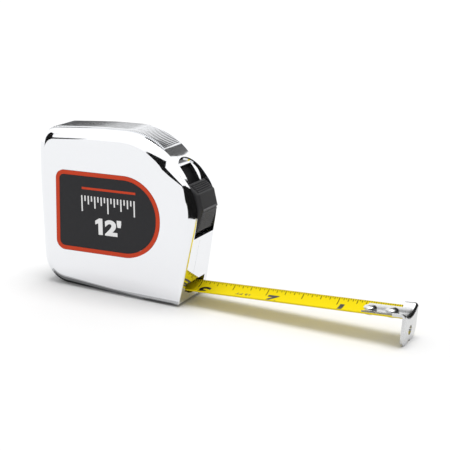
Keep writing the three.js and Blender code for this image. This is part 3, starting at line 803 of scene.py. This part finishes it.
# %% Ribbed bands
def ribbed_band(path, count, height, y_low, y_high, name, bury=0.3, samples=8, sharp=1.5):
    """path(t) gives a point (x, z) and its outward way (x, z) for t from 0 to 1."""
    top = []
    for k in range(count * samples + 1):
        t = k / (count * samples)
        (x, z), (wx, wz) = path(t)
        lift = height * abs(math.sin(math.pi * count * t)) ** sharp
        top.append((x + wx * lift, y_low, z + wz * lift))
    under = []
    for k in range(41):
        (x, z), (wx, wz) = path(1 - k / 40)
        under.append((x - wx * bury, y_low, z - wz * bury))
    return extruded(top + under, (0, y_high - y_low, 0), name)


def top_path(from_x, to_x):
    """The rim's own line between two places on the top, by distance along it."""
    rim = [Vector(p) for p in rounded_outline(case_corners, step=1.0)]
    crest = sorted((p for p in rim if p.y > 45 and from_x - 6 < p.x < to_x + 6), key=lambda p: p.x)
    spots = [p for p in crest if from_x <= p.x <= to_x]
    lengths = [0.0]
    for a, b in zip(spots, spots[1:]):
        lengths.append(lengths[-1] + (b - a).length)

    def path(t):
        goal = t * lengths[-1]
        i = max(0, min(len(spots) - 2, sum(1 for s in lengths if s <= goal) - 1))
        part = (goal - lengths[i]) / max(lengths[i + 1] - lengths[i], 1e-9)
        point = spots[i].lerp(spots[i + 1], part)
        way = (spots[i + 1] - spots[i]).normalized()
        return (point.x, point.y), (-way.y, way.x)

    return path, lengths[-1]


rib_pitch = 0.68
rib_half = 5.6
rib_height = 0.55
bed_height = 0.22
crest_path, crest_length = top_path(-27.5, 18.5)
rib_count = round(crest_length / rib_pitch)
for word, low, high in (("near", -rib_half, seam_y - seam_gap / 2), ("far", seam_y + seam_gap / 2, rib_half)):
    ribs = ribbed_band(crest_path, rib_count, rib_height, low, high, f"top_ribs_{word}")
    settle(ribs, [chrome], "case", crease_angle=50, weighted=False)
    # The bed under the ribs carries the painted shade of the grooves.
    bed = ribbed_band(crest_path, 1, 0.0, low + 0.05, high - 0.05, f"rib_bed_painted_shade_{word}")
    for vert in bed.data.vertices:
        vert.co.z += bed_height
    settle(bed, [rib_bed_painted_shade], "case", crease_angle=50, weighted=False)
print("ribs along the top:", rib_count)

# %% [markdown]
# ## Labels
# Each side carries a printed panel in a raised painted border. The border is a ring cut from
# two outlines, and a small bevel gives its edge the soft line that thick paint has.

# %% Borders and panels
label_border = 1.45
proud = 0.15
for word, side in (("near", -1), ("far", 1)):
    back = side * (side_y - label_seat + 0.03)
    face = side * (side_y + proud)
    border = label_prism(0, min(back, face), max(back, face), f"border_{word}")
    carve(border, label_prism(label_border, -20, 20))
    settle(border, [border_orange], "case", [f"label_border_{word}"], round_edge=0.1)
    face -= side * 0.1
    panel = label_prism(label_border + 0.03, min(back, face), max(back, face), f"panel_{word}")
    settle(panel, [panel_grey], "case", [f"label_panel_{word}"], round_edge=0.04)

# %% [markdown]
# ## Print on the panels
# The panel says how long the blade is. Lettering starts as a text object, is made a mesh
# while it still lies flat, and only then is turned and moved into place. A plain graduated
# rule fills the rest of the panel.

# %% Lettering
def text_shape(words, height, width, thick, name, heavy=0.0):
    """Lettering of a given size, flat on XY round the origin, as an unplaced shape in mm."""
    curve = bpy.data.curves.new(name, "FONT")
    curve.body = words
    curve.offset = heavy
    curve.resolution_u = 6
    source = bpy.data.objects.new(name, curve)
    scene.collection.objects.link(source)
    bpy.context.view_layer.update()
    mesh = bpy.data.meshes.new_from_object(source.evaluated_get(bpy.context.evaluated_depsgraph_get()))
    bpy.data.objects.remove(source)
    bm = bmesh.new()
    bm.from_mesh(mesh)
    bpy.data.meshes.remove(mesh)
    bmesh.ops.remove_doubles(bm, verts=bm.verts, dist=1e-5)
    xs = [v.co.x for v in bm.verts]
    ys = [v.co.y for v in bm.verts]
    middle = Vector(((min(xs) + max(xs)) / 2, (min(ys) + max(ys)) / 2, 0))
    bmesh.ops.translate(bm, vec=-middle, verts=bm.verts)
    bmesh.ops.scale(bm, vec=(width / (max(xs) - min(xs)), height / (max(ys) - min(ys)), 1), verts=bm.verts)
    pull(bm, list(bm.faces), (0, 0, thick))
    return bm


def on_panel(bm, x, z, side):
    """Stands a flat shape on the near (-1) or far (1) panel, set nose-up as the label is."""
    facing = Matrix.Rotation(math.pi if side > 0 else 0, 4, "Z") @ Matrix.Rotation(math.pi / 2, 4, "X")
    tilt = Matrix.Rotation(math.radians(-2.2), 4, "Y")
    shift = Matrix.Translation((x, side * (side_y + proud - 0.12), z))
    bmesh.ops.transform(bm, matrix=shift @ tilt @ facing, verts=bm.verts)


one_outline = [(-2.2, -2.9), (-2.2, 2.9), (-3.5, 2.9), (-5.1, 1.9), (-5.1, 0.6), (-3.9, 1.1), (-3.9, -2.9)]
rule_ticks = 17
rule_pitch = 1.3
for word, side in (("near", -1), ("far", 1)):
    size_mark = text_shape("2'", 5.8, 6.6, 0.06, "size", heavy=0.05)
    bmesh.ops.translate(size_mark, vec=(2.0, 0, 0), verts=size_mark.verts)
    one = size_mark.faces.new([size_mark.verts.new((x, y, 0)) for x, y in one_outline])
    pull(size_mark, [one], (0, 0, 0.06))
    on_panel(size_mark, -0.9, 23.8, side)
    settle(shape_object(size_mark, f"size_mark_{word}"), [print_white], "case")
    rule = bmesh.new()
    for k in range(rule_ticks):
        tall = 5.6 if k % 8 == 0 else 4.2 if k % 4 == 0 else 3.0 if k % 2 == 0 else 1.9
        x = (k - (rule_ticks - 1) / 2) * rule_pitch
        bmesh.ops.create_cube(rule, size=1, matrix=Matrix.Translation((x, 3 - tall / 2, 0.03))
                              @ Matrix.Diagonal((0.5, tall, 0.06, 1)))
    on_panel(rule, -1.0, 31.2, side)
    settle(shape_object(rule, f"printed_rule_{word}"), [print_white], "case")
    line = bmesh.new()
    bmesh.ops.create_cube(line, size=1, matrix=Matrix.Diagonal((21.3, 0.8, 0.06, 1)))
    on_panel(line, -0.9, 36.8, side)
    settle(shape_object(line, f"printed_line_{word}"), [border_orange], "case")

# %% [markdown]
# ## Screws
# A screw is turned on a lathe and then has its slot cut, and that is how it is made here: a
# profile is spun round an axis, and a bar is taken out of its head.

# %% Turned pieces
def turned(profile, place, way=(0, 0, 1), steps=32, name="turned"):
    """Spins a profile of (radius, height) round a line from place along way."""
    bm = bmesh.new()
    line = [bm.verts.new((radius, 0, height)) for radius, height in profile]
    edges = [bm.edges.new(pair) for pair in zip(line, line[1:])]
    bmesh.ops.spin(bm, geom=line + edges, axis=(0, 0, 1), cent=(0, 0, 0), dvec=(0, 0, 0),
                   angle=2 * math.pi, steps=steps, use_merge=True)
    bmesh.ops.remove_doubles(bm, verts=bm.verts, dist=1e-4)
    turn_to = Vector((0, 0, 1)).rotation_difference(Vector(way)).to_matrix().to_4x4()
    bmesh.ops.transform(bm, matrix=Matrix.Translation(place) @ turn_to, verts=bm.verts)
    return shape_object(bm, name)


for node in screws:
    low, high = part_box(node)
    low, high = low / mm, high / mm
    spot = (low + high) / 2
    top = high.y - low.y
    profile = [(0, 0), (0.7, 0), (0.9, 0.3), (0.9, top - 1.1), (screw_head - 0.05, top - 1.0),
               (screw_head, top - 0.9), (screw_head, top - 0.35), (screw_head - 0.15, top - 0.15),
               (screw_head * 0.6, top - 0.02), (0, top)]
    screw = turned(profile, (spot.x, low.y, spot.z), (0, 1, 0), name=f"{node}_turned")
    slot_y, half_long, half_wide = high.y - 0.45, 3, 0.28
    slot_turns = [(-half_long, -half_wide), (half_long, -half_wide),
                  (half_long, half_wide), (-half_long, half_wide)]
    slot_rim = [(spot.x + along_x, slot_y, spot.z + along_z) for along_x, along_z in slot_turns]
    slot_bar = extruded(slot_rim, (0, 2, 0))
    carve(screw, slot_bar)
    settle(screw, [hook_steel], "case", [node])

# %% [markdown]
# ## The blade
# The blade is one strip of spring steel. It leaves the coil flat and takes its cup before the
# mouth. It starts as a flat grid, each point is moved onto the cup, and solidify gives it its
# thickness. One end stays in the case while the other slides out.

# %% Blade strip
cup_start, cup_full = -1.0, 14.0
tip_x = hook_x - 0.6
coil_bottom = coil_low.z / mm


def blade_point(x, spread):
    """A point on the blade's lower face: x along it, and spread across it, from -1 to 1."""
    ease = max(0.0, min(1.0, (x - cup_start) / (cup_full - cup_start)))
    cup = ease * ease * (3 - 2 * ease)
    start_z = coil_bottom - blade_thick - 0.06
    angle = spread * blade_width / 2 / cup_radius
    y = spread * blade_width / 2 * (1 - cup) + cup_radius * math.sin(angle) * cup
    z = start_z + (trough_z(x) - start_z) * cup + cup_radius * (1 - math.cos(angle)) * cup
    return x, y, z


bm = bmesh.new()
bmesh.ops.create_grid(bm, x_segments=70, y_segments=14, size=1)
for vert in bm.verts:
    vert.co = blade_point(cup_start + (tip_x - cup_start) * (vert.co.x + 1) / 2, vert.co.y)
bmesh.ops.recalc_face_normals(bm, faces=bm.faces)
if sum(face.normal.z for face in bm.faces) > 0:
    bmesh.ops.reverse_faces(bm, faces=bm.faces)
bmesh.ops.solidify(bm, geom=list(bm.faces), thickness=blade_thick)
# Faces that turn downwards take the underside colour, with its painted shade.
for face in bm.faces:
    face.material_index = 0 if face.normal.z > 0 else 1
blade = shape_object(bm, "blade_strip")
print("blade z range:", round(min(v.co.z for v in blade.data.vertices), 2))
settle(blade, [lacquer, blade_underside_painted_shade], None, ["blade_tip", "blade_feed"], crease_angle=40,
       weighted=False)
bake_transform(blade)

# %% [markdown]
# ## Numerals
# The figures are printed along the middle of the blade, on the hook side of their inch lines.
# Flat lettering is cut into narrow strips, so that it can bend, and dropped onto the cup. The
# first figure rides near the hook.

# %% Figures on the blade
figure_base = 2.95
figure_tall = 5.2


def figure(words, inches, name, tall=figure_tall, wide=3.9, aside=3.0, base=figure_base):
    bm = text_shape(words, tall, wide, 0.05, name, heavy=0.03 * tall / figure_tall)
    bmesh.ops.rotate(bm, cent=(0, 0, 0), matrix=Matrix.Rotation(math.pi, 3, "Z"), verts=bm.verts)
    middle_x = hook_x - inches * inch * blade_axis.x + aside
    bmesh.ops.translate(bm, vec=(middle_x, base - tall / 2, 0), verts=bm.verts)
    for k in range(16):
        bmesh.ops.bisect_plane(bm, geom=bm.verts[:] + bm.edges[:] + bm.faces[:], dist=1e-5,
                               plane_co=(0, -3 + 0.4 * k, 0), plane_no=(0, 1, 0))
    for vert in bm.verts:
        slope = math.sqrt(1 - (vert.co.y / cup_radius) ** 2)
        vert.co.z += trough_z(vert.co.x) + cup_lift(vert.co.y) + blade_thick / slope + 0.02
    return shape_object(bm, name)


settle(figure("1", 1, "figure_1", wide=1.5, aside=2.0), [print_black], "blade",
       crease_angle=60, weighted=False)
sliding_print = [
    figure("2", 2, "figure_2"),
    figure("3", 3, "figure_3"),
    figure("12 FT", 2.31, "figure_length", tall=1.2, wide=5.2, aside=0.0, base=1.9),
]
for mark in sliding_print:
    settle(mark, [print_black], crease_angle=60, weighted=False)
    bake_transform(mark)

# %% [markdown]
# ## The end hook
# The hook is one blanked plate: a tongue that lies in the blade's trough, two short wings,
# and a face that is bent down. A flat grid is mapped onto that path, column by column, with
# the unwanted corners removed first. Solidify gives the sheet its thickness, and a bevel
# takes off the blanked edge.

# %% Hook plate
hook_thick = 0.9
hook_half = 6.8
tongue_half = 4.0
tongue_length = 14.6
wing_length = 3.4
bend_radius = 1.15
hook_rise = blade_thick + 0.08
face_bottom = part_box("end_hook")[0].z / mm
hook_bend_x = hook_x + hook_thick
corner_radius = 3.0
tongue_share, bend_share = 0.45, 0.62


def hook_point(y, share):
    """A point on the hook's outer face. share is 0 at the tongue's end and 1 at the bottom edge."""
    level = cup_lift(y) + hook_rise + hook_thick
    over = max(0.0, abs(y) - (hook_half - corner_radius))
    bottom = face_bottom + corner_radius - math.sqrt(corner_radius ** 2 - min(over, corner_radius) ** 2)
    bottom += 0.8 * max(0.0, 1 - (abs(y) / 1.1) ** 4)
    bend_from = hook_bend_x - bend_radius
    flat_run = bend_from - (hook_x - tongue_length)
    top_z = trough_z(hook_x) + level
    drop = top_z - bend_radius - bottom
    if share <= tongue_share:
        x = hook_x - tongue_length + flat_run * share / tongue_share
        return x, y, trough_z(x) + level
    if share <= bend_share:
        angle = (share - tongue_share) / (bend_share - tongue_share) * math.pi / 2
        centre_z = trough_z(bend_from) + level - bend_radius
        return bend_from + bend_radius * math.sin(angle), y, centre_z + bend_radius * math.cos(angle)
    down = (share - bend_share) / (1 - bend_share)
    centre_z = trough_z(bend_from) + level - bend_radius
    z = centre_z + (bottom - centre_z) * down
    return hook_bend_x - 0.05 * (centre_z - z), y, z


rows_long, rows_wide = 60, 34
bm = bmesh.new()
bmesh.ops.create_grid(bm, x_segments=rows_long, y_segments=rows_wide, size=1)
flat_wing = wing_length - bend_radius + hook_thick
flat_tongue = tongue_length - bend_radius + hook_thick
wing_share = tongue_share * (1 - flat_wing / flat_tongue)
spare = []
for face in bm.faces:
    centre = face.calc_center_median()
    share, y = (centre.x + 1) / 2, abs(centre.y) * hook_half
    if share < wing_share and y > tongue_half:
        spare.append(face)
bmesh.ops.delete(bm, geom=spare, context="FACES")
for vert in bm.verts:
    vert.co = hook_point(vert.co.y * hook_half, (vert.co.x + 1) / 2)
bmesh.ops.recalc_face_normals(bm, faces=bm.faces)
if max(bm.faces, key=lambda f: f.calc_center_median().x).normal.x < 0:
    bmesh.ops.reverse_faces(bm, faces=bm.faces)
bmesh.ops.solidify(bm, geom=list(bm.faces), thickness=hook_thick)
hook = shape_object(bm, "hook_plate")
print("hook x range:", round(min(v.co.x for v in hook.data.vertices), 2),
      round(max(v.co.x for v in hook.data.vertices), 2))
carve(hook, cylinder(1.6, (hook_x - 5, 0, face_bottom + 4.0), (1, 0, 0), 10, segments=40))
settle(hook, [hook_steel], "hook", ["end_hook"], crease_angle=38, round_edge=0.16)

# %% Rivets
for node in ("rivet_front", "rivet_rear"):
    low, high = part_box(node)
    low, high = low / mm, high / mm
    spot = (low + high) / 2
    radius = (high.x - low.x) / 2
    top = high.z - low.z
    climbs = [k * math.pi / 16 for k in range(8)]
    dome = [(radius * math.cos(a), top - 1.0 + 1.0 * math.sin(a)) for a in climbs]
    profile = [(0, 0), (1.5, 0), (1.7, 0.1), (1.7, 0.22), (1.0, 0.3), (1.0, top - 1.25),
               (radius - 0.1, top - 1.25)]
    rivet = turned(profile + dome + [(0, top)], (spot.x, 0, low.z), name=f"{node}_domed")
    settle(rivet, [hook_steel], "blade", [node], crease_angle=40)

# %% [markdown]
# ## The thumb lock
# The lock is a moulded block that slides on the curved track. Its outline is drawn on the
# track's own circle, extruded across, and bevelled: a broad round where the thumb meets the
# sides, and a fine one on the ridges. Ribs are set on the upper and the lower facet.

# %% Lock block
button_half = 6.3
button_floor = track_radius + 0.15
button_base = [on_track(button_floor, 26 - 39.6 * k / 16) for k in range(17)]
facet_bottom = on_track(track_radius + 1.7, -13.6)
facet_ridge = on_track(track_radius + 3.8, 4.9)
facet_corner = on_track(track_radius + 3.4, 16.8)
facet_top = on_track(track_radius + 0.6, 26)
outline = button_base + [facet_bottom, facet_ridge, facet_corner, facet_top]
bm = bmesh.new()
face = bm.faces.new([bm.verts.new((x, -button_half, z)) for x, z in outline])
pull(bm, [face], (0, 2 * button_half, 0))
proud_points = [Vector((x, z)) for x, z in (facet_bottom, facet_ridge, facet_corner, facet_top)]


def is_proud(vert):
    return any((Vector((vert.co.x, vert.co.z)) - p).length < 0.01 for p in proud_points)


front_edges = [e for e in bm.edges if all(is_proud(v) for v in e.verts)]
shoulder = [e for e in front_edges if abs(e.verts[0].co.y - e.verts[1].co.y) < 0.01]
bmesh.ops.bevel(bm, geom=shoulder, offset=1.3, segments=6, profile=0.5, affect="EDGES", material=-1)
bmesh.ops.recalc_face_normals(bm, faces=bm.faces)
# Faces that look along Y, the lock's sides, take the second colour, with its painted shade.
for face in bm.faces:
    face.material_index = 1 if face.normal.y < -0.75 or face.normal.y > 0.75 else 0
button = shape_object(bm, "lock_block")
settle(button, [lock_plastic, lock_sides_painted_shade], "lock", ["lock_button"], crease_angle=30,
       round_edge=0.22)


# %% Lock ribs
def facet_path(start, end, low=0.0, high=1.0):
    start, end = Vector(start), Vector(end)
    way = (end - start).normalized()
    outward = (way.y, -way.x)

    def path(t):
        point = start.lerp(end, low + (high - low) * t)
        return (point.x, point.y), outward

    return path


rib_reach = button_half - 1.25
# The lower ribs and the ridge bead carry the lighter colour with its painted highlight.
lower_ribs = ribbed_band(facet_path(facet_bottom, facet_ridge, 0.05, 0.9), 9, 0.5, -rib_reach, rib_reach,
                         "lock_ribs_lower")
settle(lower_ribs, [lock_painted_highlight], "lock", crease_angle=60, weighted=False)
upper_ribs = ribbed_band(facet_path(facet_corner, facet_top, 0.12, 0.92), 5, 0.35, -rib_reach, rib_reach,
                         "lock_ribs_upper")
settle(upper_ribs, [lock_plastic], "lock", crease_angle=60, weighted=False)
ridge_bead = ribbed_band(facet_path(facet_bottom, facet_ridge, 0.93, 1.03), 1, 0.3, -rib_reach, rib_reach,
                         "lock_ridge_bead")
settle(ridge_bead, [lock_painted_highlight], "lock", crease_angle=60, weighted=False)

# %% [markdown]
# ## Inner works
# The reel, its spring, the post, the guide and the brake keep the frame's own shapes, which
# are already right for pieces inside a case. Each only needs its finish.

# %% Dress the inner nodes
inner_finish = {
    "mouth_guide": black_plastic, "reel_drum": reel_plastic, "reel_cover": reel_plastic,
    "blade_coil": wound_blade, "reel_post": hook_steel, "return_spring": spring_steel,
    "lock_slider": black_plastic, "brake_lever": black_plastic, "brake_pad": brake_rubber,
    "brake_pin": hook_steel,
}
for node, skin in inner_finish.items():
    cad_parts[node].data.materials.clear()
    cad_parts[node].data.materials.append(skin)
print("inner nodes dressed:", len(inner_finish))

# %% [markdown]
# ## Finish
# The last cell sets the dressed object's box beside the frame's.

# %% Sizes
low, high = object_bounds()
{"cad": [list(cad_low), list(cad_high)], "visual": [list(low), list(high)]}
print("visual box in mm:", [round(v / mm, 1) for v in (*low, *high)])
